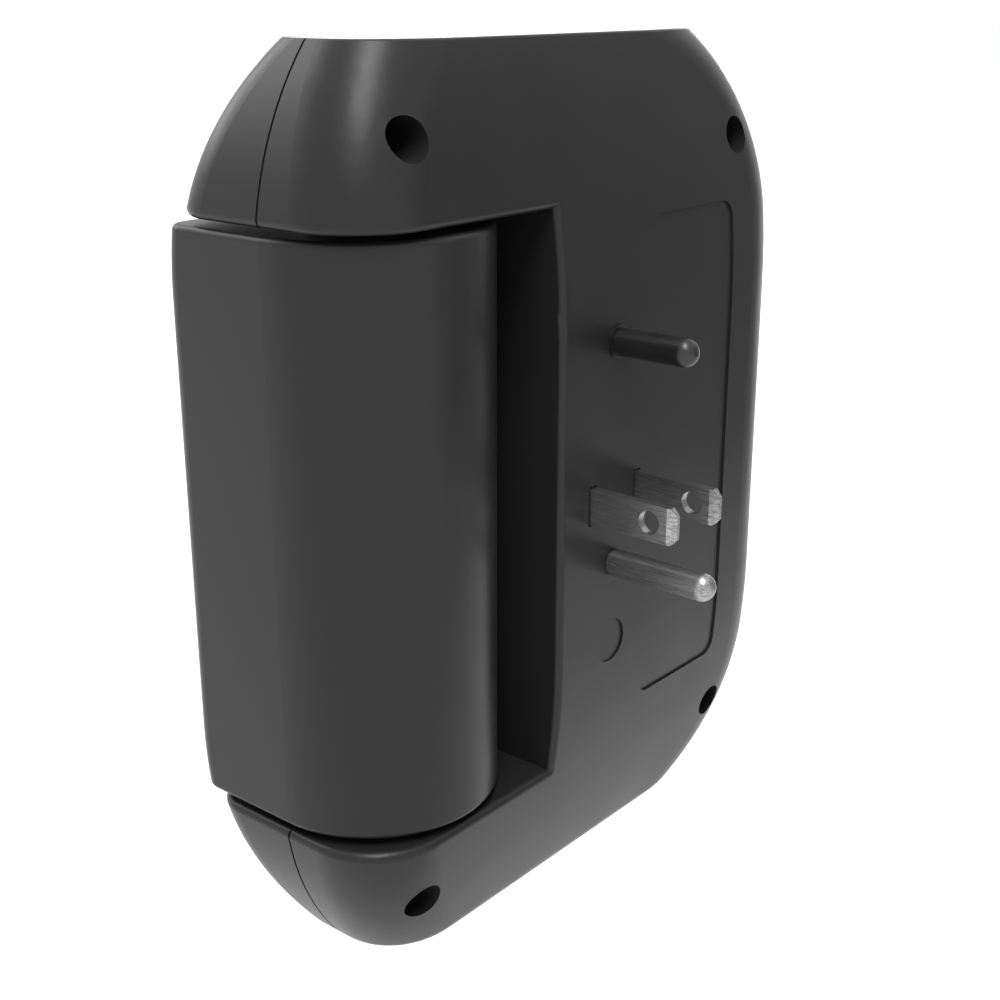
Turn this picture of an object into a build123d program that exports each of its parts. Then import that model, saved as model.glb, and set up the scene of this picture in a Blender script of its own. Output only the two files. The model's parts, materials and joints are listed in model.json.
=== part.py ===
"""Plug-in ultrasonic pest repeller with a swivelling speaker pod.

Frame: millimetres, +Z up, the wall is at +Y and the room at -Y.  The origin is midway between the
two mains blades, on the rear face.  The pod stands in a bay at the +X side of the housing.
"""
import os
from math import asin, degrees, sqrt

from build123d import *

os.makedirs("parts", exist_ok=True)

# ------------------------------------------------------------------ driving dimensions (mm)
# Housing: seen from the front it is upright, with straight sides and curved shoulders.
body_width = 114.0
body_height = 147.6
body_depth = 44.0
body_x = 1.0              # housing centre, measured from the plug
body_z = 1.6
side_half = 42.0          # half height of the straight side, where the pod is
shoulder_r = 50.0
far_side_half = 40.0      # the same on the other side
far_shoulder_r = 42.0
rear_flat_half = 28.0     # half height of the flat middle of the rear face
rear_crown_r = 136.0
front_flat_half = 36.0
front_crown_r = 60.0
rear_edge_r = 14.0
front_edge_r = 8.0
top_edge_r = 0.6
low_edge_r = 4.5
wall = 2.2
seam_y = -22.0            # where the two covers meet
seam_gap = 0.4
seam_depth = 0.8

# Pod bay and pod
bay_x = 15.0              # inner wall of the bay
bay_height = 96.8
bay_edge_r = 1.2
pod_r = 20.5
pod_x = 37.0
pod_gap = 1.1             # free height between the pod and the bay at each end
pod_wall = 2.0
pod_edge_r = 1.0
pod_front_r = 3.2
trunnion_r = 4.5
trunnion_bore_r = 2.2
pivot_clearance = 0.06
bush_wall = 1.9
bush_flange_r = 8.0
bush_flange = 0.8
bush_lock = 1.2
fit_gap = 0.05            # clearance between pieces that do not move on each other

# Mains plug, three-pin 15 A pattern
blade_pitch = 12.7
blade_thick = 1.5
blade_width = 6.3
blade_length = 17.0
blade_chamfer = 1.2         # across the corners of the tip
blade_bevel = 0.4           # taken off each broad face at the tip
blade_bevel_length = 1.8
blade_hole_r = 2.0
blade_hole_y = 11.8
slot_gap = 0.3
shoulder_width = 9.0
shoulder_length = 2.6
tail_width = 3.0
tail_length = 1.2             # how far the tails reach past the board
ground_drop = 11.9
pin_r = 2.4
neck_r = 2.2              # where the round pins pass through the rear cover
neck_length = 0.5
ground_length = 20.4
outlet_spacing = 38.9     # from one ground hole to the next on a duplex outlet
stabiliser_length = 15.2
collar_r = 2.9
collar_height = 0.4
pin_flange_r = 3.6
pin_flange = 1.4
stabiliser_flange_r = 4.0

# Plug carrier
carrier_width = 24.0
carrier_thick = 6.0
carrier_low = -18.0
carrier_high = 32.0
carrier_screw_length = 5.4
carrier_post_x = 9.6
carrier_post_z = 14.0
carrier_post_r = 2.0

# Cover screws
well_r = 3.2
well_seat_y = -14.0
boss_wall = 1.6
screw_r = 1.5
screw_head_r = 2.8
screw_head = 2.2
screw_length = 17.0
screw_clearance = 0.2
screw_spare = 0.6             # how much deeper than its screw a blind hole goes
left_well = (44.5, 60.8)      # +X side: distance from x = 0 and half spread in height
right_well = (-38.5, 55.7)

# Rear face details
label_x = (-35.2, -10.0)
label_z = (-41.4, 46.5)
label_corner_r = 3.0
label_depth = 0.4
dimple_x = 0.4
dimple_z = -26.5
dimple_r = 4.0
dimple_depth = 0.35

# Circuit board
board_y = -16.0               # room-side face of the board
board_thick = 1.6
board_x = (-50.0, 10.0)
board_z = (-42.0, 46.0)
board_post_r = 3.0
board_post_inset = 4.5
small_screw_r = 1.2
small_head_r = 2.6
small_head = 1.6
small_length = 7.0
transformer_at = (-40.0, 23.0)
transformer_size = (18.0, 16.0, 16.0)     # width, height, depth from the board
winding_size = (10.0, 14.0)
winding_corner_r = 1.5
winding_step = 1.5                        # how far the winding stops short of the core's face
bulk_at = (-4.0, 27.0)
bulk_size = (5.0, 16.0)                   # radius, depth
film_at = (-43.5, -3.0)
film_size = (7.0, 18.0, 13.0)
choke_at = (-42.0, -23.0)
choke_size = (4.5, 9.0)
varistor_at = (-21.0, -37.0)
varistor_size = (3.5, 9.0, 9.0)
fuse_at = (-33.0, -36.0)
fuse_size = (4.0, 8.0, 7.5)
rectifier_at = (-31.0, 38.0)
rectifier_size = (6.5, 7.0, 3.0)
chip_at = (-22.0, 24.0)
chip_size = (8.0, 5.0, 2.0)
driver_at = (-13.0, 16.0)
driver_size = (4.5, 3.6, 5.0)
driver_pitch = 6.0
resistor_at = (-30.0, -19.0)
resistor_size = (2.0, 5.5, 2.0)
resistor_pitch = 4.5
resistor_count = 6
small_cap_points = ((-12.0, -30.0), (-4.0, -28.0), (3.0, -24.0))
small_cap_size = (2.5, 6.0)
component_edge = 0.4
dipped_edge = 1.0
chip_edge = 0.2
can_edge = 0.6

# Outlet in the front face
outlet_x = -21.0
outlet_z = -6.0
outlet_width = 28.0
outlet_height = 36.0
outlet_corner_r = 5.0
outlet_proud = 0.6
outlet_depth = 17.0
outlet_ear = 8.0              # how far the two fixing ears stand out
outlet_ear_width = 9.0
outlet_ear_thick = 1.5
outlet_ear_y = -36.0          # where the ears seat on the cover's posts
outlet_screw_length = 6.4
outlet_face = 2.6
slot_width = 2.0
slot_height = 8.2
ground_hole_r = 2.65
pocket_width = 5.4
pocket_height = 10.0
ground_pocket_r = 3.6
contact_thick = 0.8
ground_contact_r = 3.4
contact_gap = 1.4
contact_height = 7.0
contact_length = 9.0
contact_end_y = -24.0
blades_up = 5.5               # slots above the middle of the outlet
wire_starts = ((-10.5, 8.0), (2.0, 5.0), (-4.5, -14.0))     # solder points on the board
wire_r = 1.0
wire_bend = 2.0
wire_run_y = -20.5

# Indicator
lens_r = 2.5
lens_z = 33.0
lens_proud = 0.3
lens_length = 20.0
lens_flange_r = 3.4
lens_flange = 1.2
led_r = 1.5
led_height = 5.0
led_rim = 0.5                 # width of the step at its foot
led_rim_height = 1.0

# Speakers
speaker_frame = 35.0
speaker_flange = 2.0
speaker_cup_r = 16.0
speaker_depth = 9.0
speaker_back = 1.2
speaker_corner_r = 2.0
cup_play = 1.0                # the cup's bore is wider than the cone by this
speaker_spacing = 44.0
speaker_corner = 14.6
cone_r = 13.5
cone_small_r = 4.0
cone_depth = 5.0
cone_thick = 0.5
piezo_r = 8.0
piezo_thick = 0.8
gasket = 0.8
gasket_band = (0.5, 2.6)      # inner and outer edge, outside the cone
grille_thick = 2.0
grille_recess = 1.4
grille_gap = 0.15
grille_field_r = 15.0
grille_slot = 2.0
grille_pitch = 4.0
grille_rows = 7
grille_corner_r = 0.5
speaker_head_r = 2.3
screw_bite = 0.7              # how far the speaker screws go into the grille
grille_rib = 1.4
terminal_size = (6.0, 3.0, 2.0)
cable_r = 1.8
cable_bend = 7.0
cable_run_z = -60.0
lead_r = 0.8
lead_bend = 3.0
socket_x = -8.0
socket_size = (8.0, 6.0, 8.5)
socket_z = -38.0

# ------------------------------------------------------------------ worked-out values
bay_low = body_z - bay_height / 2
bay_high = body_z + bay_height / 2
pod_low = bay_low + pod_gap
pod_high = bay_high - pod_gap
pod_y = seam_y
pod_z = (pod_low + pod_high) / 2
front_y = -body_depth
blade_x = blade_pitch / 2
stabiliser_z = outlet_spacing - ground_drop
inner_y = -wall
bush_r = trunnion_r + pivot_clearance + bush_wall
boss_r = well_r + boss_wall
outlet_screw_z = outlet_height / 2 + outlet_ear / 2
outlet_back_y = front_y - outlet_proud + outlet_depth
slots_z = outlet_z + blades_up
far = body_width + body_height      # longer than anything in the model

wells = [
    (left_well[0], body_z + left_well[1]),
    (left_well[0], body_z - left_well[1]),
    (right_well[0], body_z + right_well[1]),
    (right_well[0], body_z - right_well[1]),
]
carrier_posts = [(-carrier_post_x, carrier_post_z), (carrier_post_x, carrier_post_z)]
outlet_posts = [(outlet_x, outlet_z + outlet_screw_z), (outlet_x, outlet_z - outlet_screw_z)]
board_posts = [
    (x, z)
    for x in (board_x[0] + board_post_inset, board_x[1] - board_post_inset)
    for z in (board_z[0] + board_post_inset, board_z[1] - board_post_inset)
]


def upright(y, x=0.0, z=0.0):
    """Upright drawing plane at depth y: its X is +X, its Y is +Z, and it faces the room."""
    return Plane(origin=(x, y, z), x_dir=(1, 0, 0), z_dir=(0, -1, 0))


def level(z, x=0.0, y=0.0):
    """Level drawing plane at height z, facing up."""
    return Plane(origin=(x, y, z), x_dir=(1, 0, 0), z_dir=(0, 0, 1))


def sideways(x, y=0.0, z=0.0):
    """Drawing plane across the housing at x: its X is +Y, its Y is +Z, and it faces +X."""
    return Plane(origin=(x, y, z), x_dir=(0, 1, 0), z_dir=(1, 0, 0))


def finish(piece, name):
    """Name the finished piece and write its file."""
    piece.part.label = name
    export_step(piece.part, f"parts/{name}.step")


# ------------------------------------------------------------------ housing form
def side_profile(inset):
    """The crowned front and rear faces seen from the side, drawn smaller by inset."""
    half_h = body_height / 2 - inset
    rear_r = rear_crown_r - inset
    front_r = front_crown_r - inset
    rear_centre = -rear_crown_r
    front_centre = front_y + front_crown_r
    rear_top = rear_centre + sqrt(rear_r**2 - (half_h - rear_flat_half) ** 2)
    front_top = front_centre - sqrt(front_r**2 - (half_h - front_flat_half) ** 2)
    rear_angle = degrees(asin((half_h - rear_flat_half) / rear_r))
    front_angle = degrees(asin((half_h - front_flat_half) / front_r))
    with BuildSketch(sideways(body_x, 0, body_z)) as profile:
        with BuildLine():
            Line((-inset, -rear_flat_half), (-inset, rear_flat_half))
            CenterArc((rear_centre, rear_flat_half), rear_r, 0, rear_angle)
            Line((rear_top, half_h), (front_top, half_h))
            CenterArc((front_centre, front_flat_half), front_r, 180, -front_angle)
            Line((front_y + inset, front_flat_half), (front_y + inset, -front_flat_half))
            CenterArc((front_centre, -front_flat_half), front_r, 180, front_angle)
            Line((front_top, -half_h), (rear_top, -half_h))
            CenterArc((rear_centre, -rear_flat_half), rear_r, 0, -rear_angle)
        make_face()
    return profile.sketch


def body_form(inset):
    """The housing's outer shape, drawn smaller by inset on every side."""
    half_w = body_width / 2 - inset
    half_h = body_height / 2 - inset
    rise, other_rise = half_h - side_half, half_h - far_side_half
    near, other = shoulder_r - inset, far_shoulder_r - inset
    near_angle, other_angle = degrees(asin(rise / near)), degrees(asin(other_rise / other))
    near_x, other_x = half_w - near, half_w - other
    end_x = near_x + sqrt(near**2 - rise**2)
    other_end_x = other_x + sqrt(other**2 - other_rise**2)
    with BuildPart() as form:
        with BuildSketch(upright(0, body_x, body_z)):
            with BuildLine():
                Line((half_w, -side_half), (half_w, side_half))
                CenterArc((near_x, side_half), near, 0, near_angle)
                Line((end_x, half_h), (-other_end_x, half_h))
                CenterArc((-other_x, far_side_half), other, 180, -other_angle)
                Line((-half_w, far_side_half), (-half_w, -far_side_half))
                CenterArc((-other_x, -far_side_half), other, 180, other_angle)
                Line((-other_end_x, -half_h), (end_x, -half_h))
                CenterArc((near_x, -side_half), near, 0, -near_angle)
            make_face()
        extrude(amount=body_depth)
        extrude(side_profile(inset), amount=far, both=True, mode=Mode.INTERSECT)
        rims = form.edges().filter_by(Axis.X, reverse=True).filter_by(Axis.Y, reverse=True)
        fillet(rims.filter_by(lambda edge: edge.center().Y > seam_y), radius=rear_edge_r - inset)
        rims = form.edges().filter_by(Axis.X, reverse=True).filter_by(Axis.Y, reverse=True)
        rims = rims.filter_by(lambda edge: edge.center().Y < seam_y - body_depth / 8)
        rims = rims.filter_by(lambda edge: abs(edge.center().X - body_x) > body_width / 4)
        fillet(rims, radius=front_edge_r - inset)
        fillet(form.faces().sort_by(Axis.Z)[0].edges(), radius=low_edge_r - inset)
    return form.part


# ------------------------------------------------------------------ housing
with BuildPart() as blank:
    add(body_form(0))
    fillet(blank.faces().sort_by(Axis.Z)[-1].edges(), radius=top_edge_r)
    with BuildSketch(upright(0)):
        with Locations((bay_x + far / 2, body_z)):
            Rectangle(far, bay_height)
    extrude(amount=far, both=True, mode=Mode.SUBTRACT)
    bay_rims = blank.edges().filter_by_position(Axis.Z, bay_low, bay_high)
    bay_rims = bay_rims.filter_by_position(Axis.X, bay_x, far)
    bay_rims = bay_rims.filter_by(Axis.Y, reverse=True).filter_by(Axis.Z, reverse=True)
    fillet(bay_rims, radius=bay_edge_r)

with BuildPart() as hollow:
    add(body_form(wall))
    with BuildSketch(upright(0)):
        with Locations((bay_x - wall + far / 2, body_z)):
            Rectangle(far, bay_height + 2 * wall)
    extrude(amount=far, both=True, mode=Mode.SUBTRACT)

# A shadow line runs round the housing where the covers meet.
with BuildPart() as seam_band:
    with BuildSketch(upright(seam_y)):
        Rectangle(2 * far, 2 * far)
    extrude(amount=seam_gap)
    add(body_form(seam_depth), mode=Mode.SUBTRACT)

# The rating label's recess follows the crown of the rear face.
with BuildPart() as label_cut:
    with BuildSketch(upright(0)):
        with Locations((sum(label_x) / 2, sum(label_z) / 2)):
            RectangleRounded(label_x[1] - label_x[0], label_z[1] - label_z[0], label_corner_r)
    extrude(amount=body_depth / 2)
    add(body_form(label_depth), mode=Mode.SUBTRACT)

# Holes through both ends of the bay take the pivot bushes.
with BuildPart() as bush_seats:
    with BuildSketch(level(bay_low - wall - fit_gap, pod_x, pod_y)):
        Circle(bush_r + fit_gap)
    extrude(amount=wall + 2 * fit_gap)
    with BuildSketch(level(bay_high - fit_gap, pod_x, pod_y)):
        Circle(bush_r + fit_gap)
    extrude(amount=wall + 2 * fit_gap)


mid_wall = body_form(wall / 2)


def posts(points, radius, start_y, end_y):
    """Round posts from start_y to end_y, kept inside the housing."""
    with BuildPart() as group:
        with BuildSketch(upright(max(start_y, end_y))):
            with Locations(points):
                Circle(radius)
        extrude(amount=abs(end_y - start_y))
        add(mid_wall, mode=Mode.INTERSECT)
    return group.part


def holes(points, radius, start_y, end_y):
    """Round cutters from start_y to end_y."""
    with BuildPart() as group:
        with BuildSketch(upright(max(start_y, end_y))):
            with Locations(points):
                Circle(radius)
        extrude(amount=abs(end_y - start_y))
    return group.part


screw_end_y = well_seat_y - screw_length
carrier_y = inner_y - carrier_thick
board_back_y = board_y + board_thick

with BuildPart() as rear_cover:
    add(blank)
    add(hollow, mode=Mode.SUBTRACT)
    split(bisect_by=upright(seam_y), keep=Keep.BOTTOM)
    add(posts(wells, boss_r, 0, seam_y))
    add(posts(board_posts, board_post_r, 0, board_back_y))
    add(posts(carrier_posts, carrier_post_r, 0, carrier_y))
    add(holes(wells, well_r, far, well_seat_y), mode=Mode.SUBTRACT)
    add(holes(wells, screw_r + screw_clearance, well_seat_y, seam_y), mode=Mode.SUBTRACT)
    add(holes(board_posts, small_screw_r + fit_gap, inner_y, board_back_y), mode=Mode.SUBTRACT)
    add(holes(carrier_posts, small_screw_r + fit_gap, inner_y, carrier_y), mode=Mode.SUBTRACT)
    add(bush_seats, mode=Mode.SUBTRACT)
    with BuildSketch(upright(far)):
        with Locations((-blade_x, 0), (blade_x, 0)):
            Rectangle(blade_thick + 2 * slot_gap, blade_width + 2 * slot_gap)
        with Locations((0, -ground_drop), (0, stabiliser_z)):
            Circle(neck_r + fit_gap)
    extrude(amount=far + wall, mode=Mode.SUBTRACT)
    add(label_cut, mode=Mode.SUBTRACT)
    with BuildSketch(upright(0)):
        with Locations((dimple_x, dimple_z)):
            Circle(dimple_r)
    extrude(amount=dimple_depth, mode=Mode.SUBTRACT)
finish(rear_cover, "rear_cover")

with BuildPart() as front_cover:
    add(blank)
    add(hollow, mode=Mode.SUBTRACT)
    split(bisect_by=upright(seam_y), keep=Keep.TOP)
    add(seam_band, mode=Mode.SUBTRACT)
    add(posts(wells, screw_r + boss_wall, seam_y, front_y))
    add(holes(wells, screw_r + fit_gap, seam_y, screw_end_y - fit_gap), mode=Mode.SUBTRACT)
    add(posts(outlet_posts, board_post_r, outlet_ear_y, front_y))
    add(holes(outlet_posts, small_screw_r + fit_gap, outlet_ear_y, front_y + wall), mode=Mode.SUBTRACT)
    add(bush_seats, mode=Mode.SUBTRACT)
    with BuildSketch(upright(seam_y)):
        with Locations((outlet_x, outlet_z)):
            RectangleRounded(outlet_width + 2 * fit_gap, outlet_height + 2 * fit_gap, outlet_corner_r)
        with Locations((outlet_x, lens_z)):
            Circle(lens_r + fit_gap)
    extrude(amount=body_depth, mode=Mode.SUBTRACT)
finish(front_cover, "front_cover")


def screws(points, seat_y, length, shank_r, head_r, head, room_side=1):
    """Pan-head screws seated at seat_y; room_side is 1 where the shank points at the room, else -1."""
    head_y = seat_y + head * room_side
    with BuildPart() as group:
        with BuildSketch(upright(seat_y)):
            with Locations(points):
                Circle(head_r)
        extrude(amount=-head * room_side)
        crowns = group.edges().filter_by_position(Axis.Y, head_y - fit_gap, head_y + fit_gap)
        fillet(crowns, radius=head / 3)
        with BuildSketch(upright(seat_y)):
            with Locations(points):
                Circle(shank_r)
        extrude(amount=length * room_side)
        with BuildSketch(upright(head_y)):
            with Locations(points):
                Rectangle(head_r, head / 3)
                Rectangle(head / 3, head_r)
        extrude(amount=head / 2 * room_side, mode=Mode.SUBTRACT)
    return group.part


with BuildPart() as cover_screws:
    add(screws(wells, well_seat_y, screw_length, screw_r, screw_head_r, screw_head))
finish(cover_screws, "cover_screws")

with BuildPart() as carrier_screws:
    add(screws(carrier_posts, carrier_y, carrier_screw_length, small_screw_r, small_head_r, small_head, -1))
finish(carrier_screws, "carrier_screws")

with BuildPart() as board_screws:
    add(screws(board_posts, board_y, small_length, small_screw_r, small_head_r, small_head, -1))
finish(board_screws, "board_screws")

with BuildPart() as outlet_screws:
    add(screws(outlet_posts, outlet_ear_y + outlet_ear_thick, outlet_screw_length,
               small_screw_r, small_head_r, small_head))
finish(outlet_screws, "outlet_screws")

# ------------------------------------------------------------------ mains plug
tail_end_y = board_y - tail_length
shoulder_back_y = inner_y - shoulder_length


def blade(x):
    """Flat blade: bevelled tip outside, shoulders trapped in the carrier, tail through the board."""
    half = blade_thick / 2
    with BuildPart() as piece:
        with BuildSketch(sideways(x - half)) as outline:
            with Locations(((blade_length + inner_y) / 2, 0)):
                Rectangle(blade_length - inner_y, blade_width)
            chamfer(outline.vertices().sort_by(Axis.X)[-2:], length=blade_chamfer)
            with Locations((inner_y - fit_gap - (shoulder_length - fit_gap) / 2, 0)):
                Rectangle(shoulder_length - fit_gap, shoulder_width)
            with Locations(((inner_y + tail_end_y) / 2, 0)):
                Rectangle(inner_y - tail_end_y, tail_width)
            with Locations((blade_hole_y, 0)):
                Circle(blade_hole_r, mode=Mode.SUBTRACT)
        extrude(amount=blade_thick)
        with BuildSketch(Plane.XY.offset(-shoulder_width / 2)):
            with BuildLine():
                Polyline(
                    (x - half, tail_end_y),
                    (x - half, blade_length - blade_bevel_length),
                    (x - half + blade_bevel, blade_length),
                    (x + half - blade_bevel, blade_length),
                    (x + half, blade_length - blade_bevel_length),
                    (x + half, tail_end_y),
                    close=True,
                )
            make_face()
        extrude(amount=shoulder_width, mode=Mode.INTERSECT)
    return piece.part


def pin(z, length, root_y, flange_r):
    """Round pin: domed tip, neck through the cover, inner flange; its full radius starts at root_y."""
    with BuildPart() as piece:
        with BuildSketch(sideways(0, 0, z)):
            with Locations((length - pin_r, 0)):
                Circle(pin_r)
            with Locations(((length - pin_r + root_y) / 2, 0)):
                Rectangle(length - pin_r - root_y, 2 * pin_r)
            with Locations(((root_y + carrier_y) / 2, 0)):
                Rectangle(root_y - carrier_y, 2 * neck_r)
            with Locations((inner_y - fit_gap - pin_flange / 2, 0)):
                Rectangle(pin_flange, 2 * flange_r)
            split(bisect_by=Plane.XZ, keep=Keep.BOTTOM)
        revolve(axis=Axis((0, 0, z), (0, 1, 0)))
    return piece.part


for blade_name, x in (("line_blade", blade_x), ("neutral_blade", -blade_x)):
    with BuildPart() as mains_blade:
        add(blade(x))
    finish(mains_blade, blade_name)

with BuildPart() as ground_pin:
    add(pin(-ground_drop, ground_length, neck_length, pin_flange_r))
    with BuildSketch(upright(carrier_y)):
        with Locations((0, -ground_drop)):
            Circle(tail_width / 2)
    extrude(amount=carrier_y - tail_end_y)
finish(ground_pin, "ground_pin")

with BuildPart() as stabiliser_pin:
    add(pin(stabiliser_z, stabiliser_length, collar_height + neck_length, stabiliser_flange_r))
    with BuildSketch(upright(0)):
        with Locations((0, stabiliser_z)):
            Circle(collar_r)
    extrude(amount=-collar_height)
finish(stabiliser_pin, "stabiliser_pin")

with BuildPart() as plug_carrier:
    with BuildSketch(upright(0)):
        with Locations((0, (carrier_low + carrier_high) / 2)):
            RectangleRounded(carrier_width, carrier_high - carrier_low, pin_r)
        with Locations(carrier_posts):
            Circle(carrier_post_r + fit_gap, mode=Mode.SUBTRACT)
    extrude(amount=-carrier_y)
    add(body_form(wall), mode=Mode.INTERSECT)
    with BuildSketch(upright(0)):
        with Locations((-blade_x, 0), (blade_x, 0)):
            Rectangle(blade_thick + 2 * fit_gap, shoulder_width + 2 * fit_gap)
    extrude(amount=-shoulder_back_y, mode=Mode.SUBTRACT)
    with BuildSketch(upright(0)):
        with Locations((-blade_x, 0), (blade_x, 0)):
            Rectangle(blade_thick + 2 * fit_gap, tail_width + 2 * fit_gap)
        with Locations((0, -ground_drop), (0, stabiliser_z)):
            Circle(neck_r + fit_gap)
    extrude(amount=body_depth, mode=Mode.SUBTRACT)
    with BuildSketch(upright(0)):
        with Locations((0, -ground_drop)):
            Circle(pin_flange_r + fit_gap)
        with Locations((0, stabiliser_z)):
            Circle(stabiliser_flange_r + fit_gap)
    extrude(amount=-inner_y + pin_flange + fit_gap, mode=Mode.SUBTRACT)
finish(plug_carrier, "plug_carrier")

# ------------------------------------------------------------------ circuit board and its pieces
with BuildPart() as main_board:
    with BuildSketch(upright(board_back_y)):
        with Locations((sum(board_x) / 2, sum(board_z) / 2)):
            RectangleRounded(board_x[1] - board_x[0], board_z[1] - board_z[0], pin_r)
        with Locations(board_posts):
            Circle(small_screw_r + screw_clearance, mode=Mode.SUBTRACT)
        with Locations((-blade_x, 0), (blade_x, 0)):
            Rectangle(blade_thick + slot_gap, tail_width + slot_gap, mode=Mode.SUBTRACT)
        with Locations((0, -ground_drop)):
            Circle(tail_width / 2 + slot_gap / 2, mode=Mode.SUBTRACT)
    extrude(amount=board_thick)
finish(main_board, "main_board")


def blocks(points, size, edge=component_edge):
    """Box-shaped components standing on the board's room side; size is width, height and depth."""
    width, height, depth = size
    with BuildPart() as group:
        with BuildSketch(upright(board_y)):
            with Locations(points):
                Rectangle(width, height)
        extrude(amount=depth)
        rims = group.edges().filter_by_position(Axis.Y, board_y - depth - fit_gap, board_y - fit_gap)
        fillet(rims, radius=edge)
    return group.part


def cans(points, size, edge=can_edge):
    """Round components standing on the board's room side; size is radius and depth."""
    radius, depth = size
    with BuildPart() as group:
        with BuildSketch(upright(board_y)):
            with Locations(points):
                Circle(radius)
        extrude(amount=depth)
        crowns = group.edges().filter_by_position(Axis.Y, board_y - depth - fit_gap, board_y - depth + fit_gap)
        fillet(crowns, radius=edge)
    return group.part


with BuildPart() as transformer_core:
    with BuildSketch(upright(board_y)):
        with Locations(transformer_at):
            Rectangle(transformer_size[0], transformer_size[1])
            Rectangle(winding_size[0], winding_size[1], mode=Mode.SUBTRACT)
    extrude(amount=transformer_size[2])
finish(transformer_core, "transformer_core")

with BuildPart() as transformer_winding:
    with BuildSketch(upright(board_y)):
        with Locations(transformer_at):
            RectangleRounded(winding_size[0] - 2 * fit_gap, winding_size[1] - 2 * fit_gap,
                             winding_corner_r)
    extrude(amount=transformer_size[2] - winding_step)
finish(transformer_winding, "transformer_winding")

driver_points = [driver_at, (driver_at[0], driver_at[1] + driver_pitch)]
resistor_points = [(resistor_at[0] + resistor_pitch * step, resistor_at[1]) for step in range(resistor_count)]
components = (
    ("bulk_capacitor", cans([bulk_at], bulk_size)),
    ("suppression_capacitor", blocks([film_at], film_size)),
    ("choke", cans([choke_at], choke_size)),
    ("varistor", blocks([varistor_at], varistor_size, dipped_edge)),
    ("fuse", blocks([fuse_at], fuse_size)),
    ("rectifier", blocks([rectifier_at], rectifier_size)),
    ("controller_chip", blocks([chip_at], chip_size, chip_edge)),
    ("driver_transistors", blocks(driver_points, driver_size)),
    ("resistors", blocks(resistor_points, resistor_size)),
    ("small_capacitors", cans(small_cap_points, small_cap_size, component_edge)),
    ("speaker_socket", blocks([(socket_x, socket_z)], socket_size)),
)
for component_name, shape in components:
    with BuildPart() as component:
        add(shape)
    finish(component, component_name)

with BuildPart() as indicator_led:
    with BuildSketch(sideways(outlet_x, 0, lens_z)):
        with Locations((board_y - (led_height - led_r) / 2, led_r / 2)):
            Rectangle(led_height - led_r, led_r)
        with Locations((board_y - led_rim_height / 2, (led_r + led_rim) / 2)):
            Rectangle(led_rim_height, led_r + led_rim)
        with BuildLine():
            CenterArc((board_y - led_height + led_r, 0), led_r, 90, 90)
            Polyline(
                (board_y - led_height, 0),
                (board_y - led_height + led_r, 0),
                (board_y - led_height + led_r, led_r),
            )
        make_face()
    revolve(axis=Axis((outlet_x, 0, lens_z), (0, 1, 0)))
finish(indicator_led, "indicator_led")

with BuildPart() as indicator_lens:
    with BuildSketch(upright(front_y - lens_proud + lens_length)):
        with Locations((outlet_x, lens_z)):
            Circle(lens_r)
    extrude(amount=lens_length)
    fillet(indicator_lens.faces().sort_by(Axis.Y)[0].edges(), radius=lens_proud)
    with BuildSketch(upright(front_y + wall + lens_flange)):
        with Locations((outlet_x, lens_z)):
            Circle(lens_flange_r)
    extrude(amount=lens_flange)
finish(indicator_lens, "indicator_lens")

# ------------------------------------------------------------------ outlet in the front face
slot_points = [(outlet_x - blade_x, slots_z), (outlet_x + blade_x, slots_z)]
ground_point = (outlet_x, slots_z - ground_drop)
face_back_y = front_y - outlet_proud + outlet_face
pocket_back_y = face_back_y + contact_length + contact_thick + fit_gap
with BuildPart() as outlet_insert:
    with BuildSketch(upright(outlet_back_y)):
        with Locations((outlet_x, outlet_z)):
            RectangleRounded(outlet_width, outlet_height, outlet_corner_r)
    extrude(amount=outlet_depth)
    rims = outlet_insert.faces().sort_by(Axis.Y)[0].edges()
    fillet(rims, radius=outlet_proud)
    with BuildSketch(upright(outlet_ear_y + outlet_ear_thick)):
        with Locations((outlet_x, outlet_z)):
            RectangleRounded(outlet_ear_width, outlet_height + 2 * outlet_ear, small_head_r)
        with Locations(outlet_posts):
            Circle(small_screw_r + screw_clearance, mode=Mode.SUBTRACT)
    extrude(amount=outlet_ear_thick)
    with BuildSketch(upright(pocket_back_y)):
        with Locations(slot_points):
            Rectangle(pocket_width, pocket_height)
        with Locations(ground_point):
            Circle(ground_pocket_r)
    extrude(amount=pocket_back_y - face_back_y, mode=Mode.SUBTRACT)
    with BuildSketch(upright(face_back_y)):
        with Locations(slot_points):
            Rectangle(slot_width, slot_height)
        with Locations(ground_point):
            Circle(ground_hole_r)
    extrude(amount=2 * outlet_face, mode=Mode.SUBTRACT)
    with BuildSketch(upright(outlet_back_y)):
        with Locations(slot_points[0], slot_points[1], ground_point):
            Rectangle(contact_thick + 2 * fit_gap, tail_width + 2 * fit_gap)
    extrude(amount=outlet_back_y - pocket_back_y, mode=Mode.SUBTRACT)
finish(outlet_insert, "outlet_insert")


def contact_tail(point):
    """Flat tail of a contact, through the back of the insert to where its wire is soldered."""
    with BuildPart() as piece:
        with BuildSketch(upright(contact_end_y)):
            with Locations(point):
                Rectangle(contact_thick, tail_width)
        extrude(amount=contact_end_y - pocket_back_y + contact_thick)
    return piece.part


for contact_name, point in zip(("neutral_contact", "line_contact"), slot_points):
    with BuildPart() as contact:
        with BuildSketch(upright(pocket_back_y - fit_gap)):
            with Locations(point):
                Rectangle(contact_gap + 2 * contact_thick, contact_height)
        extrude(amount=contact_length)
        with BuildSketch(upright(pocket_back_y - fit_gap - contact_thick)):
            with Locations(point):
                Rectangle(contact_gap, contact_height)
        extrude(amount=contact_length, mode=Mode.SUBTRACT)
        add(contact_tail(point))
    finish(contact, contact_name)

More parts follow.
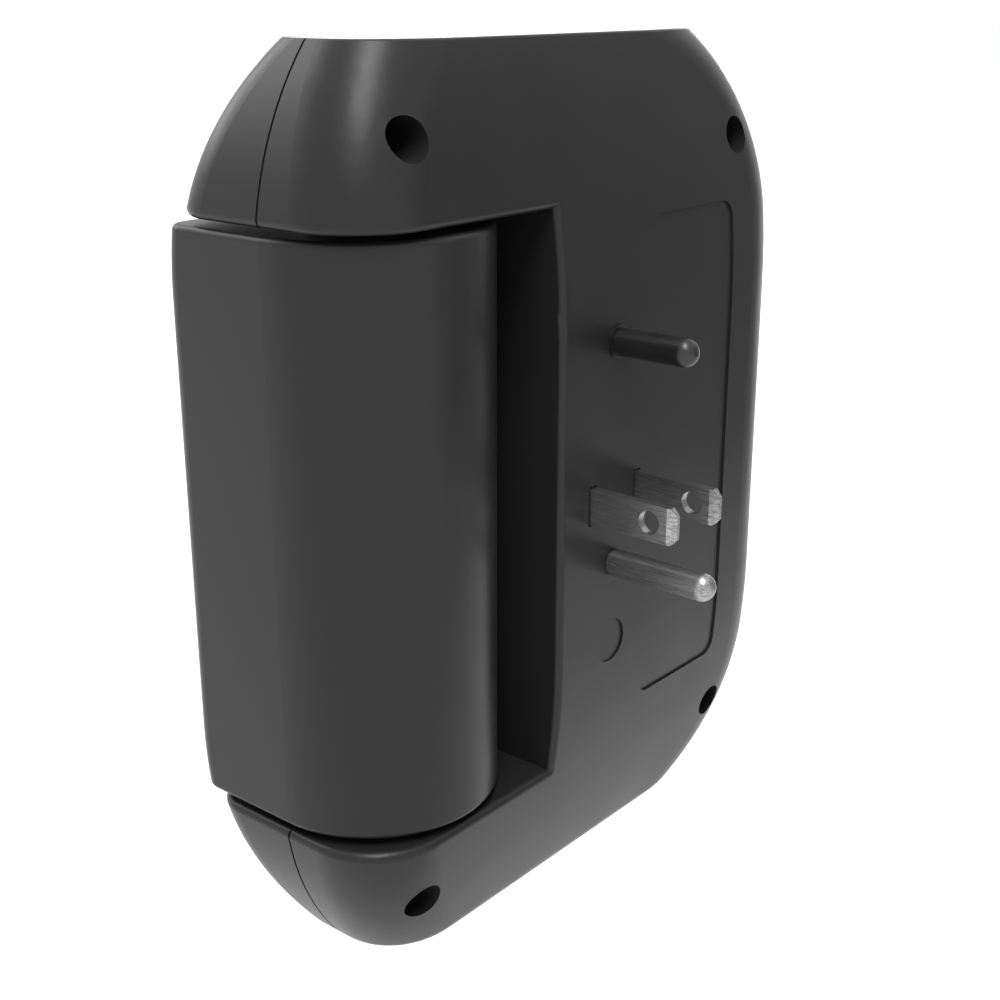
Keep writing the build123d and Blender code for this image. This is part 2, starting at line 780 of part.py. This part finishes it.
with BuildPart() as ground_contact:
    with BuildSketch(upright(pocket_back_y - fit_gap)):
        with Locations(ground_point):
            Circle(ground_contact_r)
    extrude(amount=contact_length)
    with BuildSketch(upright(pocket_back_y - fit_gap - contact_thick)):
        with Locations(ground_point):
            Circle(pin_r + fit_gap)
    extrude(amount=contact_length, mode=Mode.SUBTRACT)
    add(contact_tail(ground_point))
finish(ground_contact, "ground_contact")


def tube(points, radius, bend):
    """Round wire along straight runs joined by arcs."""
    with BuildPart() as piece:
        with BuildLine() as route:
            FilletPolyline(*points, radius=bend)
        with BuildSketch(Plane(origin=route.line @ 0, z_dir=route.line % 0)):
            Circle(radius)
        sweep()
    return piece.part


with BuildPart() as mains_wires:
    for start, end in zip(wire_starts, (slot_points[0], slot_points[1], ground_point)):
        add(tube([(start[0], board_y, start[1]), (start[0], wire_run_y, start[1]),
                  (end[0], wire_run_y, end[1]), (end[0], contact_end_y, end[1])], wire_r, wire_bend))
finish(mains_wires, "mains_wires")

# ------------------------------------------------------------------ pivot
def bush(flange_z, up):
    """Bush for one end of the bay; up is 1 where its wide flange faces upwards, else -1."""
    with BuildPart() as piece:
        with BuildSketch(level(flange_z, pod_x, pod_y)):
            Circle(bush_flange_r)
        extrude(amount=bush_flange * up)
        with BuildSketch(level(flange_z, pod_x, pod_y)):
            Circle(bush_r)
        extrude(amount=-(wall + bush_lock) * up)
        with BuildSketch(level(flange_z - wall * up, pod_x, pod_y)):
            Circle(bush_flange_r)
        extrude(amount=-bush_lock * up)
        with BuildSketch(level(flange_z, pod_x, pod_y)):
            Circle(trunnion_r + pivot_clearance)
        extrude(amount=far, both=True, mode=Mode.SUBTRACT)
    return piece.part


with BuildPart() as lower_bush:
    add(bush(bay_low, 1))
finish(lower_bush, "lower_bush")

with BuildPart() as upper_bush:
    add(bush(bay_high, -1))
finish(upper_bush, "upper_bush")

cable_joint_z = pod_low + 2 * pod_wall + lead_bend
with BuildPart() as body_cable:
    add(tube([(socket_x, pod_y, socket_z - socket_size[1] / 2), (socket_x, pod_y, cable_run_z),
              (pod_x, pod_y, cable_run_z), (pod_x, pod_y, cable_joint_z)], cable_r, cable_bend))
finish(body_cable, "body_cable")

# ------------------------------------------------------------------ speaker pod
def pod_form(radius, low, high, front):
    """Half-round column with straight sides running forward to the front."""
    with BuildPart() as form:
        with BuildSketch(level(low)):
            with Locations((pod_x, pod_y)):
                Circle(radius)
            with Locations((pod_x, (pod_y + front) / 2)):
                Rectangle(2 * radius, pod_y - front)
        extrude(amount=high - low)
    return form.part


trunnion_low = bay_low - wall - bush_lock
trunnion_high = bay_high + wall + bush_lock
grille_y = front_y + grille_recess
grille_back_y = grille_y + grille_thick
speaker_heights = (pod_z + speaker_spacing / 2, pod_z - speaker_spacing / 2)
pod_inner_r = pod_r - pod_wall
rib_heights = (0.0, (pod_high - pod_low) / 2 - 2 * pod_wall)
with BuildPart() as pod_shell:
    add(pod_form(pod_r, pod_low, pod_high, front_y))
    extrude(side_profile(0), amount=far, both=True, mode=Mode.INTERSECT)
    corners = pod_shell.edges().filter_by(Axis.Z).filter_by_position(Axis.Y, front_y - 1, front_y + pod_wall)
    fillet(corners, radius=pod_front_r)
    ends = pod_shell.faces().filter_by(Axis.Z).edges()
    fillet(ends, radius=pod_edge_r)
    add(pod_form(pod_inner_r, pod_low + pod_wall, pod_high - pod_wall, front_y - pod_wall),
        mode=Mode.SUBTRACT)
    with BuildSketch(upright(grille_back_y + grille_thick)):
        for rib in rib_heights:
            for side in (-1, 1):
                with Locations((pod_x + side * (pod_inner_r - grille_rib / 2), pod_z + rib),
                               (pod_x + side * (pod_inner_r - grille_rib / 2), pod_z - rib)):
                    Rectangle(grille_rib, 2 * pod_wall)
    extrude(amount=grille_thick)
    with BuildSketch(level(trunnion_low)):
        with Locations((pod_x, pod_y)):
            Circle(trunnion_r)
    extrude(amount=pod_low + pod_wall - trunnion_low)
    with BuildSketch(level(pod_high - pod_wall)):
        with Locations((pod_x, pod_y)):
            Circle(trunnion_r)
    extrude(amount=trunnion_high - pod_high + pod_wall)
    with BuildSketch(level(trunnion_low)):
        with Locations((pod_x, pod_y)):
            Circle(trunnion_bore_r)
    extrude(amount=pod_low + 2 * pod_wall - trunnion_low, mode=Mode.SUBTRACT)
finish(pod_shell, "pod_shell")

speaker_points = [(pod_x, z) for z in speaker_heights]
corner_points = [
    (pod_x + dx * speaker_corner, z + dz * speaker_corner)
    for z in speaker_heights
    for dx in (-1, 1)
    for dz in (-1, 1)
]
flange_y = grille_back_y + gasket
with BuildPart() as pod_grille:
    with BuildSketch(upright(grille_back_y)):
        with Locations((pod_x, pod_z)):
            RectangleRounded(2 * (pod_inner_r - grille_gap),
                             pod_high - pod_low - 2 * (pod_wall + grille_gap), grille_corner_r)
    extrude(amount=grille_thick)
    with BuildSketch(upright(flange_y)):
        with Locations(corner_points):
            Circle(board_post_r)
    extrude(amount=gasket)
    with BuildSketch(upright(grille_back_y)):
        with Locations(speaker_points):
            Circle(grille_field_r)
        with BuildSketch(mode=Mode.INTERSECT):
            for row in range(grille_rows):
                rise = (row - (grille_rows - 1) / 2) * grille_pitch
                with Locations(*[(pod_x, z + rise) for z in speaker_heights]):
                    SlotOverall(2 * grille_field_r, grille_slot)
    extrude(amount=grille_thick, mode=Mode.SUBTRACT)
    add(holes(corner_points, small_screw_r + fit_gap, flange_y, grille_back_y - screw_bite - screw_spare),
        mode=Mode.SUBTRACT)
finish(pod_grille, "pod_grille")

with BuildPart() as speaker_gaskets:
    with BuildSketch(upright(flange_y)):
        with Locations(speaker_points):
            Circle(cone_r + gasket_band[1])
            Circle(cone_r + gasket_band[0], mode=Mode.SUBTRACT)
    extrude(amount=gasket)
finish(speaker_gaskets, "speaker_gaskets")

cup_y = flange_y + speaker_flange
cup_back_y = cup_y + speaker_depth
terminal_y = cup_back_y + terminal_size[2]
surround_r = cone_r - cup_play
cone_rim_r = cone_r + cup_play - fit_gap
cone_back_y = cup_y + cone_depth + cone_thick
for place, z in zip(("upper", "lower"), speaker_heights):
    with BuildPart() as frame:
        with BuildSketch(upright(cup_y)):
            with Locations((pod_x, z)):
                RectangleRounded(speaker_frame, speaker_frame, speaker_corner_r)
        extrude(amount=speaker_flange)
        with BuildSketch(upright(cup_back_y)):
            with Locations((pod_x, z)):
                Circle(speaker_cup_r)
        extrude(amount=speaker_depth)
        with BuildSketch(upright(cup_back_y - speaker_back)):
            with Locations((pod_x, z)):
                Circle(cone_r + cup_play)
        extrude(amount=speaker_depth - speaker_back, mode=Mode.SUBTRACT)
        with BuildSketch(upright(cup_y)):
            with Locations((pod_x, z)):
                Circle(cone_r)
        extrude(amount=speaker_flange, mode=Mode.SUBTRACT)
        with BuildSketch(upright(terminal_y)):
            with Locations((pod_x, z)):
                Rectangle(terminal_size[0], terminal_size[1])
        extrude(amount=terminal_size[2])
        corners = [point for point in corner_points if abs(point[1] - z) < speaker_frame / 2]
        add(holes(corners, small_screw_r + screw_clearance, cup_y, flange_y), mode=Mode.SUBTRACT)
    finish(frame, f"{place}_speaker_frame")

    with BuildPart() as cone:
        with BuildSketch(sideways(pod_x, 0, z)):
            with BuildLine():
                Polyline(
                    (cup_y, cone_rim_r),
                    (cup_y, surround_r),
                    (cup_y + cone_depth, cone_small_r),
                    (cup_y + cone_depth, 0),
                    (cone_back_y, 0),
                    (cone_back_y, cone_small_r),
                    (cup_y + cone_thick, surround_r + cone_thick),
                    (cup_y + cone_thick, cone_rim_r),
                    close=True,
                )
            make_face()
        revolve(axis=Axis((pod_x, 0, z), (0, 1, 0)))
    finish(cone, f"{place}_cone")

    with BuildPart() as piezo:
        with BuildSketch(upright(cone_back_y + piezo_thick)):
            with Locations((pod_x, z)):
                Circle(piezo_r)
        extrude(amount=piezo_thick)
    finish(piezo, f"{place}_piezo")

with BuildPart() as speaker_screws:
    add(screws(corner_points, cup_y, speaker_flange + gasket + screw_bite,
               small_screw_r, speaker_head_r, small_head))
finish(speaker_screws, "speaker_screws")

lead_x = cable_r / 2
with BuildPart() as pod_leads:
    for side, z in zip((-1, 1), speaker_heights):
        add(tube([(pod_x + side * lead_x, pod_y, cable_joint_z), (pod_x + side * lead_x, pod_y, z),
                  (pod_x + side * lead_x, terminal_y, z)], lead_r, lead_bend))
finish(pod_leads, "pod_leads")
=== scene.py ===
import json
from math import radians

import bpy
from mathutils import Matrix, Vector


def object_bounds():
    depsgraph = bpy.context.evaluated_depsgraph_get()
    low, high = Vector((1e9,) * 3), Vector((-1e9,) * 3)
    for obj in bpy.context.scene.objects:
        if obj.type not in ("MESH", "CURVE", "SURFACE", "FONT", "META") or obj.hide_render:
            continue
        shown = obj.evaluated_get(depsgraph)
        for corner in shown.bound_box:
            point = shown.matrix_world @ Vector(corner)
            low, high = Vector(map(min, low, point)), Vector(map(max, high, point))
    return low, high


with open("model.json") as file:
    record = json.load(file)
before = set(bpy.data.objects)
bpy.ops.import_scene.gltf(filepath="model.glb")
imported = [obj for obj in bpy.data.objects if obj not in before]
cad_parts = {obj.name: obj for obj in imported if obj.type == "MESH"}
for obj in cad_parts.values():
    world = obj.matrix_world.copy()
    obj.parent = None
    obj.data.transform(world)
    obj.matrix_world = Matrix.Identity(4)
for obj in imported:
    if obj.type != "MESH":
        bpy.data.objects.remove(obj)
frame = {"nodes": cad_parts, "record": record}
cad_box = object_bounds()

MM = 0.001


# ------------------------------------------------------------------ colours and nodes
def linear(code, alpha=1.0):
    """An sRGB hex code as a linear colour."""
    parts = [int(code[i:i + 2], 16) / 255 for i in (1, 3, 5)]
    return tuple(p / 12.92 if p <= 0.04045 else ((p + 0.055) / 1.055) ** 2.4 for p in parts) + (alpha,)


def node(tree, kind, links=None, values=None, **settings):
    """Adds a node: settings are its properties, values go on its sockets, and links feed them."""
    made = tree.nodes.new(kind)
    for name, value in settings.items():
        setattr(made, name, value)
    for socket, value in (values or {}).items():
        made.inputs[socket].default_value = value
    for socket, source in (links or {}).items():
        tree.links.new(source, made.inputs[socket])
    return made


def blank(name):
    """A new material with no nodes in its tree."""
    made = bpy.data.materials.new(name)
    made.use_nodes = True
    made.node_tree.nodes.clear()
    return made, made.node_tree


def moulded(name, deep, pale, grain, rough, relief, specular=0.5, cloud=18.0, drift=0.05):
    """A moulded or coated surface: a fine grain, and slow drifts of shade and gloss across it.

    grain and cloud are sizes in millimetres, relief is the height of the grain in millimetres, and drift is
    how far the roughness wanders from rough.
    """
    made, tree = blank(name)
    place = node(tree, "ShaderNodeTexCoord").outputs["Object"]
    fine = node(tree, "ShaderNodeTexNoise", {"Vector": place},
                {"Scale": 1 / (grain * MM), "Detail": 3.0, "Roughness": 0.6})
    slow = node(tree, "ShaderNodeTexNoise", {"Vector": place},
                {"Scale": 1 / (cloud * MM), "Detail": 2.0, "Roughness": 0.5})
    both = node(tree, "ShaderNodeMix", {2: fine.outputs["Fac"], 3: slow.outputs["Fac"]},
                {"Factor": 0.5}, data_type="FLOAT")
    shade = node(tree, "ShaderNodeValToRGB", {"Fac": both.outputs[0]})
    dark, light = shade.color_ramp.elements
    dark.position, dark.color = 0.36, linear(deep)
    light.position, light.color = 0.64, linear(pale)
    gloss = node(tree, "ShaderNodeMapRange", {"Value": both.outputs[0]},
                 {"From Min": 0.35, "From Max": 0.65, "To Min": rough - drift, "To Max": rough + drift})
    bump = node(tree, "ShaderNodeBump", {"Height": fine.outputs["Fac"]},
                {"Strength": 1.0, "Distance": relief * MM})
    shader = node(tree, "ShaderNodeBsdfPrincipled",
                  {"Base Color": shade.outputs["Color"], "Roughness": gloss.outputs["Result"],
                   "Normal": bump.outputs["Normal"]}, {"Specular IOR Level": specular})
    node(tree, "ShaderNodeOutputMaterial", {"Surface": shader.outputs["BSDF"]})
    return made


def drawn(name, deep, pale, rough, line, hair, relief):
    """Metal with the lines of its drawing, rolling or spinning.

    line is the size of one line along each axis in millimetres, a second set is hair times finer, and
    relief is the height of the lines in millimetres.
    """
    made, tree = blank(name)
    place = node(tree, "ShaderNodeTexCoord").outputs["Object"]
    along = node(tree, "ShaderNodeMapping", {"Vector": place}, {"Scale": [1 / (size * MM) for size in line]})
    lines = node(tree, "ShaderNodeTexNoise", {"Vector": along.outputs["Vector"]},
                 {"Scale": 1.0, "Detail": 3.0, "Roughness": 0.6})
    hairs = node(tree, "ShaderNodeTexNoise", {"Vector": along.outputs["Vector"]},
                 {"Scale": hair, "Detail": 1.0})
    both = node(tree, "ShaderNodeMix", {2: lines.outputs["Fac"], 3: hairs.outputs["Fac"]},
                {"Factor": 0.4}, data_type="FLOAT")
    shade = node(tree, "ShaderNodeValToRGB", {"Fac": both.outputs[0]})
    dark, light = shade.color_ramp.elements
    dark.position, dark.color = 0.38, linear(deep)
    light.position, light.color = 0.62, linear(pale)
    gloss = node(tree, "ShaderNodeMapRange", {"Value": both.outputs[0]},
                 {"From Min": 0.35, "From Max": 0.65, "To Min": rough + 0.1, "To Max": rough - 0.08})
    bump = node(tree, "ShaderNodeBump", {"Height": lines.outputs["Fac"]},
                {"Strength": 1.0, "Distance": relief * MM})
    shader = node(tree, "ShaderNodeBsdfPrincipled",
                  {"Base Color": shade.outputs["Color"], "Roughness": gloss.outputs["Result"],
                   "Normal": bump.outputs["Normal"]}, {"Metallic": 1.0})
    node(tree, "ShaderNodeOutputMaterial", {"Surface": shader.outputs["BSDF"]})
    return made


def clear_polycarbonate():
    """Clear moulded polycarbonate, faintly hazed inside so that the lens reads as a pale dot."""
    made, tree = blank("clear_polycarbonate")
    place = node(tree, "ShaderNodeTexCoord").outputs["Object"]
    haze = node(tree, "ShaderNodeTexNoise", {"Vector": place}, {"Scale": 1 / (1.5 * MM), "Detail": 2.0})
    shade = node(tree, "ShaderNodeValToRGB", {"Fac": haze.outputs["Fac"]})
    dark, light = shade.color_ramp.elements
    dark.color, light.color = linear("#d5e4d6"), linear("#e6f1e7")
    gloss = node(tree, "ShaderNodeMapRange", {"Value": haze.outputs["Fac"]}, {"To Min": 0.08, "To Max": 0.2})
    shader = node(tree, "ShaderNodeBsdfPrincipled",
                  {"Base Color": shade.outputs["Color"], "Roughness": gloss.outputs["Result"]},
                  {"IOR": 1.58, "Transmission Weight": 0.9})
    node(tree, "ShaderNodeOutputMaterial", {"Surface": shader.outputs["BSDF"]})
    return made


# ------------------------------------------------------------------ materials, by the record's slots
# The grain of moulded plastic is about 0.1 mm, and finer on coatings.  It is drawn at 0.3 mm or more, so
# that it shows.
finishes = {
    # Spark-eroded ABS: charcoal, with a soft satin sheen that runs along the roundings.
    "housing_abs": moulded("moulded_abs_charcoal", "#272727", "#2c2c2c", 0.3, 0.34, 0.004, specular=0.3),
    # The same resin with less sheen, so that the grille's face stays behind its slots.
    "grille_abs": moulded("moulded_abs_black", "#1d1d1d", "#232323", 0.3, 0.5, 0.004, specular=0.3),
    # Glass-filled nylon: a little glossier than the housing, with the faint cloudiness of its fibres.
    "pin_nylon": moulded("moulded_glass_nylon", "#19191a", "#202021", 0.5, 0.33, 0.004,
                         specular=0.6, cloud=5.0),
    # Filled PBT: a flat grey, coarser than the covers.
    "carrier_pbt": moulded("moulded_pbt", "#303030", "#383838", 0.4, 0.55, 0.006),
    # Polished polycarbonate: the outlet's face is smoother and glossier than the cover round it.
    "outlet_polycarbonate": moulded("moulded_polycarbonate", "#212121", "#272727", 0.4, 0.28, 0.002),
    # Nickel-plated brass, drawn along the blade: cool grey lines.  The real ones are a few hundredths of a
    # millimetre apart, drawn at 0.3 mm so that they show.
    "blade_metal": drawn("drawn_nickel_plated_brass", "#7a7a7a", "#bababa", 0.38,
                         (0.32, 6.0, 0.32), 3.0, 0.003),
    # Black zinc on cold-headed steel: dark, with a dull mottled shine deep in the wells.
    "screw_steel": drawn("black_zinc_steel", "#2c2c2e", "#4a4a4d", 0.4, (0.6, 0.6, 0.6), 2.0, 0.004),
    # Stamped brass: a warm glint at the bottom of the outlet's openings.
    "contact_brass": drawn("stamped_brass", "#a8874a", "#d2b274", 0.35, (0.4, 4.0, 0.4), 2.0, 0.003),
    # Green solder mask over glass laminate: an even gloss over a faint mottle.
    "board_laminate": moulded("solder_mask_laminate", "#0d3a1c", "#124a26", 0.6, 0.35, 0.004),
    # Sintered ferrite: a dry, near-black grain.
    "ferrite": moulded("sintered_ferrite", "#2a2a2c", "#38383b", 0.3, 0.6, 0.01),
    # Polyester tape: a glossy yellow wrap.
    "winding_tape": moulded("polyester_tape", "#c8a52c", "#dcbb44", 0.8, 0.35, 0.004),
    # Shrunk PVC sleeve: a smooth blue-black skin.
    "capacitor_sleeve": moulded("shrunk_pvc_sleeve", "#15151f", "#20202c", 1.0, 0.3, 0.003),
    # Moulded polyester box: an even yellow.
    "film_box": moulded("moulded_box_polyester", "#c9a82f", "#d8ba4a", 0.5, 0.4, 0.004),
    # Phenolic: a deep brown with little shine.
    "fuse_body": moulded("moulded_phenolic", "#2e1b14", "#3c261d", 0.4, 0.45, 0.004),
    # Dipped epoxy: a blue coat with a soft orange-peel surface.
    "varistor_coat": moulded("dipped_epoxy_blue", "#1c3f78", "#27508f", 0.8, 0.35, 0.01),
    # Epoxy moulding resin: a dull black.
    "chip_resin": moulded("moulded_epoxy_resin", "#1b1b1b", "#262626", 0.3, 0.6, 0.006),
    # Lacquer over a film resistor: a pale grey-blue.
    "resistor_coat": moulded("lacquered_film", "#7d9db0", "#90afbf", 0.5, 0.35, 0.006),
    # Natural nylon: a warm off-white.
    "socket_nylon": moulded("moulded_natural_nylon", "#dcd8c6", "#e8e5d6", 0.5, 0.45, 0.004),
    # Extruded PVC on the wires: black, with a low shine.
    "wire_pvc": moulded("extruded_pvc_wire", "#1c1c1c", "#2a2a2a", 0.5, 0.45, 0.004),
    # Extruded PVC jacket of the cable: greyer and a little duller than the wires.
    "cable_pvc": moulded("extruded_pvc_jacket", "#2b2b2b", "#393939", 0.5, 0.5, 0.004),
    # Machined acetal: a waxy white ring where the pod turns.
    "bush_acetal": moulded("machined_acetal", "#d3d3cd", "#e1e1db", 0.4, 0.4, 0.004),
    # ABS of the speaker's frame: black, dull behind the slots.
    "speaker_frame_abs": moulded("moulded_abs_speaker", "#1b1b1b", "#232323", 0.3, 0.5, 0.004),
    # Spun aluminium: a pale cone that shows through the slots.
    "cone_aluminium": drawn("spun_aluminium", "#9a9b9d", "#c0c1c3", 0.35, (0.6, 0.6, 0.6), 2.0, 0.004),
    # Rolled brass: the warm disc behind each cone.
    "piezo_brass": drawn("rolled_brass", "#a98a4c", "#cdae72", 0.4, (0.5, 3.0, 0.5), 2.0, 0.003),
    # Closed-cell foam: soft and matt, with its cells as relief.
    "gasket_foam": moulded("closed_cell_foam", "#1f1f20", "#2c2c2d", 0.5, 0.9, 0.05),
    # Tinted epoxy: the green of the lamp behind the lens.
    "led_epoxy": moulded("tinted_epoxy", "#2f8a42", "#3fa554", 0.8, 0.2, 0.001),
    "lens_clear": clear_polycarbonate(),
}
for part in frame["record"]["subparts"]:
    mesh = frame["nodes"][part["node"]].data
    mesh.materials.clear()
    mesh.materials.append(finishes[part["material_slot"]])


# ------------------------------------------------------------------ floor and world
FLOOR_SIZE = 8.0
FLOOR_DROP = 0.09      # how far the floor lies below the object, which hangs on a wall in use
NEAR_LIFT = 0.56       # white added to the lit paper under the object
FAR_LIFT = 1.0         # and where the lamps no longer reach it
LIFT_REACH = (0.4, 1.2)
FILL = 0.32            # the world's light on the object


def background_rays(tree):
    """1 for camera, mirror and glass rays, and 0 for the rays that light a surface."""
    ray = node(tree, "ShaderNodeLightPath").outputs
    seen = node(tree, "ShaderNodeMath", {0: ray["Is Camera Ray"], 1: ray["Is Glossy Ray"]},
                operation="MAXIMUM")
    return node(tree, "ShaderNodeMath", {0: seen.outputs[0], 1: ray["Is Transmission Ray"]},
                operation="MAXIMUM").outputs[0]


def floor_white():
    """Matt white paper: it takes the object's shadow, and its own white carries on to the horizon."""
    made, tree = blank("matt_white_paper")
    place = node(tree, "ShaderNodeTexCoord").outputs["Object"]
    fibre = node(tree, "ShaderNodeTexNoise", {"Vector": place}, {"Scale": 1 / (0.8 * MM), "Detail": 2.0})
    shade = node(tree, "ShaderNodeValToRGB", {"Fac": fibre.outputs["Fac"]})
    dark, light = shade.color_ramp.elements
    dark.color, light.color = linear("#e6e6e6"), linear("#e9e9e9")
    matt = node(tree, "ShaderNodeBsdfDiffuse", {"Color": shade.outputs["Color"]})
    away = node(tree, "ShaderNodeVectorMath", {0: place}, operation="LENGTH")
    level = node(tree, "ShaderNodeMapRange", {"Value": away.outputs["Value"]},
                 {"From Min": LIFT_REACH[0], "From Max": LIFT_REACH[1], "To Min": NEAR_LIFT,
                  "To Max": FAR_LIFT})
    lift = node(tree, "ShaderNodeMath", {0: background_rays(tree), 1: level.outputs["Result"]},
                operation="MULTIPLY")
    glow = node(tree, "ShaderNodeEmission", {"Strength": lift.outputs[0]})
    both = node(tree, "ShaderNodeAddShader", {0: matt.outputs["BSDF"], 1: glow.outputs["Emission"]})
    node(tree, "ShaderNodeOutputMaterial", {"Surface": both.outputs["Shader"]})
    return made


low, high = cad_box
centre = (Vector(low) + Vector(high)) / 2

bpy.ops.mesh.primitive_plane_add(size=FLOOR_SIZE, location=(0, 0, low[2] - FLOOR_DROP))
floor = bpy.context.object
floor.name = "floor"
floor.data.materials.append(floor_white())

world = bpy.data.worlds.new("studio")
world.use_nodes = True
sky_tree = world.node_tree
sky_tree.nodes.clear()
bpy.context.scene.world = world
level = node(sky_tree, "ShaderNodeMapRange", {"Value": background_rays(sky_tree)},
             {"To Min": FILL, "To Max": 1.0})
sky = node(sky_tree, "ShaderNodeBackground", {"Strength": level.outputs["Result"]},
           {"Color": (1, 1, 1, 1)})
node(sky_tree, "ShaderNodeOutputWorld", {"Surface": sky.outputs["Background"]})


# ------------------------------------------------------------------ lamps and flag
def place_at(azimuth, height, distance):
    """A point that far from the middle of the object; azimuth 0 is in front, at -Y, and 90 at +X."""
    turn = Matrix.Rotation(radians(azimuth), 4, "Z") @ Matrix.Rotation(radians(-height), 4, "X")
    return centre + turn @ Vector((0, -distance, 0))


def softbox(name, azimuth, height, distance, width, tall, watts):
    """A soft light aimed at the middle of the object."""
    at = place_at(azimuth, height, distance)
    lamp = bpy.data.lights.new(name, "AREA")
    lamp.shape, lamp.size, lamp.size_y, lamp.energy = "RECTANGLE", width, tall, watts
    holder = bpy.data.objects.new(name, lamp)
    holder.location = at
    holder.rotation_euler = (centre - at).to_track_quat("-Z", "Y").to_euler()
    bpy.context.scene.collection.objects.link(holder)


softbox("overhead", 130, 67, 0.9, 0.25, 0.7, 5.6)
softbox("front", 12, 34, 0.9, 0.6, 0.6, 3.1)
softbox("behind", 305, 12, 1.2, 0.6, 0.6, 4.0)

# A flag of pale grey felt, matt with a millimetre nap.  It stands beside the rear face, out of view, so
# that the sheen there stays even.
FLAG_AZIMUTH = 230
FLAG_DISTANCE = 0.45
FLAG_SIZE = 0.55
bpy.ops.mesh.primitive_plane_add(size=FLAG_SIZE, location=place_at(FLAG_AZIMUTH, 0, FLAG_DISTANCE),
                                 rotation=(radians(90), 0, radians(FLAG_AZIMUTH)))
flag = bpy.context.object
flag.name = "flag"
flag.visible_camera = flag.visible_diffuse = flag.visible_shadow = False
flag.data.materials.append(moulded("grey_felt", "#b2b2b2", "#b9b9b9", 1.0, 0.9, 0.1, specular=0.1))


# ------------------------------------------------------------------ camera
camera_place = Vector((197.909, 139.152, 82.521)) * MM
right = Vector((-0.6393637, 0.7689044, -0.0004191))
down = Vector((0.2507619, 0.2079996, -0.9454389))
ahead = Vector((-0.7268649, -0.6045844, -0.3257993))
eye = bpy.data.cameras.new("camera")
eye.sensor_width, eye.lens = 36.0, 53.88
eye.clip_start, eye.clip_end = 0.01, 20.0
camera = bpy.data.objects.new("camera", eye)
turn = Matrix((right, -down, -ahead)).transposed().to_4x4()
camera.matrix_world = Matrix.Translation(camera_place) @ turn
bpy.context.scene.collection.objects.link(camera)
bpy.context.scene.camera = camera

bpy.context.scene.view_settings.view_transform = "Standard"
